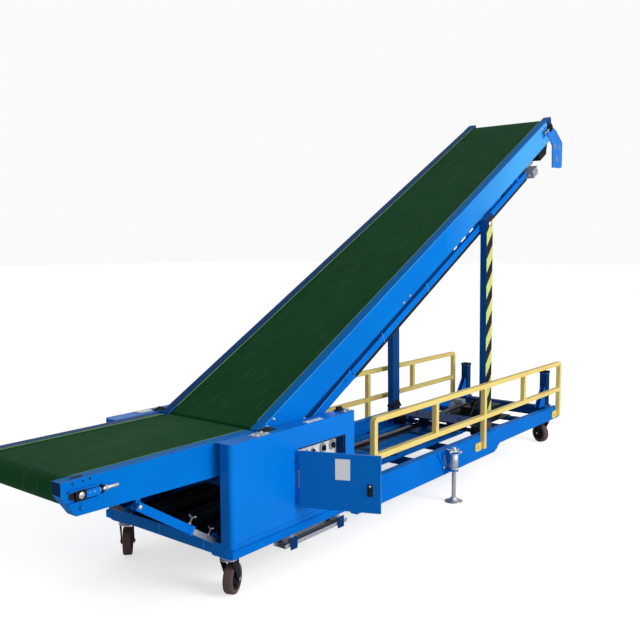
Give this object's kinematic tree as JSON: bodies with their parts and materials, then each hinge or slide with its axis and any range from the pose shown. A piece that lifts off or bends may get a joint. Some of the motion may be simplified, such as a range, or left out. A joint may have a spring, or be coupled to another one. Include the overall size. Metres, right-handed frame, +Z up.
{
  "type": "mobile inclined belt conveyor",
  "caption": "Mobile belt conveyor: a level infeed belt and a long inclined belt on a caster chassis with guard rails, side housings and folding lift legs.",
  "frame": {"origin": "on the floor, under the middle of the whole machine's box", "axes": "+X from the infeed to the raised head, +Y to the machine's left, +Z up"},
  "size_m": [4.8436, 1.47, 2.6972],
  "materials": {
    "blue_frame": "semi-gloss blue paint",
    "blue_sheet": "semi-gloss blue powder coat",
    "dark_frame": "dark blue paint",
    "leg_paint": "dark blue paint with hazard stripes",
    "yellow_rail": "gloss yellow paint",
    "black_paint": "satin black paint",
    "motor_grey": "grey machine paint",
    "panel_white": "white powder coat",
    "bright_steel": "zinc plated",
    "chrome_rod": "polished",
    "green_belt": "matt woven-back PVC belt",
    "black_rubber": "matt",
    "wheel_tread": "polyurethane tread on an iron core"
  },
  "bodies": {
    "chassis": {"side_member_left": "blue_frame", "side_member_right": "blue_frame", "cross_members": "blue_frame", "leg_tracks": "dark_frame", "rest_posts": "blue_frame", "rest_pads": "black_rubber", "guard_rail_left": "yellow_rail", "guard_rail_right": "yellow_rail", "housing_left": "blue_sheet", "housing_right": "blue_sheet", "control_panel": "panel_white", "door_hinges": "bright_steel", "step_tray": "bright_steel", "knee_bearings": "dark_frame", "cylinder_barrels": "black_paint", "power_unit": "black_paint", "caster_plates": "blue_frame", "jack_brackets": "blue_frame"},
    "incline": {"incline_frame": "blue_sheet", "incline_belt": "green_belt", "incline_rollers": "bright_steel", "under_rails": "blue_frame", "drive_motor": "motor_grey", "coupling_plates": "blue_sheet"},
    "infeed": {"infeed_frame": "blue_sheet", "infeed_belt": "green_belt", "infeed_rollers": "bright_steel", "take_ups": "bright_steel"},
    "strut_outers": {"strut_outers": "blue_frame"},
    "strut_inners": {"strut_inners": "bright_steel"},
    "foot_carriage": {"foot_carriage": "dark_frame", "foot_rollers": "bright_steel", "cylinder_rods": "chrome_rod"},
    "lift_legs": {"lift_legs": "leg_paint"},
    "control_door": {"control_door": "blue_sheet"},
    "fork_front_right": {"fork_front_right": "bright_steel"},
    "wheel_front_right": {"wheel_front_right": "wheel_tread"},
    "fork_front_left": {"fork_front_left": "bright_steel"},
    "wheel_front_left": {"wheel_front_left": "wheel_tread"},
    "fork_rear_right": {"fork_rear_right": "bright_steel"},
    "wheel_rear_right": {"wheel_rear_right": "wheel_tread"},
    "fork_rear_left": {"fork_rear_left": "bright_steel"},
    "wheel_rear_left": {"wheel_rear_left": "wheel_tread"},
    "jack_foot_right": {"jack_foot_right": "bright_steel"},
    "jack_foot_left": {"jack_foot_left": "bright_steel"}
  },
  "joints": [
    {"name": "incline_lift", "type": "hinge", "parent": "chassis", "child": "incline", "pos_m": [-1.29679, 0.13896, 0.71], "axis": [0, -1, 0], "range_deg": [-28.53, 0]},
    {"name": "carriage_slide", "type": "slide", "parent": "chassis", "child": "foot_carriage", "axis": [1, 0, 0], "range_m": [-1.2645, 0.0005]},
    {"name": "leg_swing", "type": "hinge", "parent": "foot_carriage", "child": "lift_legs", "pos_m": [1.04421, 0.13896, 0.3], "axis": [0, -1, 0], "range_deg": [-80.7, 0.05]},
    {"name": "infeed_tilt", "type": "hinge", "parent": "chassis", "child": "infeed", "pos_m": [-1.29679, 0.13896, 0.71], "axis": [0, 1, 0], "range_deg": [-8, 8]},
    {"name": "strut_swing", "type": "hinge", "parent": "infeed", "child": "strut_outers", "pos_m": [-2.04179, 0.13896, 0.56424], "axis": [0, 1, 0], "range_deg": [-1, 1]},
    {"name": "strut_slide", "type": "slide", "parent": "strut_outers", "child": "strut_inners", "axis": [0.838, 0, -0.5457], "range_m": [-0.0765, 0.0765]},
    {"name": "door_hinge", "type": "hinge", "parent": "chassis", "child": "control_door", "pos_m": [-1.15979, -0.34704, 0.35581], "axis": [0, 0, -1], "range_deg": [-66.2, 50]},
    {"name": "swivel_front_right", "type": "hinge", "parent": "chassis", "child": "fork_front_right", "pos_m": [-1.55579, -0.24704, 0.1934], "axis": [0, 0, 1], "continuous": true},
    {"name": "roll_front_right", "type": "hinge", "parent": "fork_front_right", "child": "wheel_front_right", "pos_m": [-1.51468, -0.22874, 0.075], "axis": [-0.4067, 0.9135, 0], "continuous": true},
    {"name": "swivel_front_left", "type": "hinge", "parent": "chassis", "child": "fork_front_left", "pos_m": [-1.55579, 0.52496, 0.1934], "axis": [0, 0, 1], "continuous": true},
    {"name": "roll_front_left", "type": "hinge", "parent": "fork_front_left", "child": "wheel_front_left", "pos_m": [-1.52567, 0.5584, 0.075], "axis": [-0.7431, 0.6691, 0], "continuous": true},
    {"name": "swivel_rear_right", "type": "hinge", "parent": "chassis", "child": "fork_rear_right", "pos_m": [2.15021, -0.24704, 0.1934], "axis": [0, 0, 1], "continuous": true},
    {"name": "roll_rear_right", "type": "hinge", "parent": "fork_rear_right", "child": "wheel_rear_right", "pos_m": [2.16852, -0.20593, 0.075], "axis": [-0.9135, 0.4067, 0], "continuous": true},
    {"name": "swivel_rear_left", "type": "hinge", "parent": "chassis", "child": "fork_rear_left", "pos_m": [2.15021, 0.52496, 0.1934], "axis": [0, 0, 1], "continuous": true},
    {"name": "roll_rear_left", "type": "hinge", "parent": "fork_rear_left", "child": "wheel_rear_left", "pos_m": [2.18469, 0.55388, 0.075], "axis": [-0.6428, 0.766, 0], "continuous": true},
    {"name": "jack_screw_right", "type": "slide", "parent": "chassis", "child": "jack_foot_right", "axis": [0, 0, 1], "range_m": [0, 0.08]},
    {"name": "jack_screw_left", "type": "slide", "parent": "chassis", "child": "jack_foot_left", "axis": [0, 0, 1], "range_m": [0, 0.08]}
  ],
  "couplings": [
    {"joint": "carriage_slide", "follows": "incline_lift", "m_per_rad": 2.5384},
    {"joint": "leg_swing", "follows": "incline_lift", "ratio": 2.8267},
    {"joint": "strut_swing", "follows": "infeed_tilt", "ratio": 0.00594},
    {"joint": "strut_slide", "follows": "infeed_tilt", "m_per_rad": 0.52696}
  ]
}
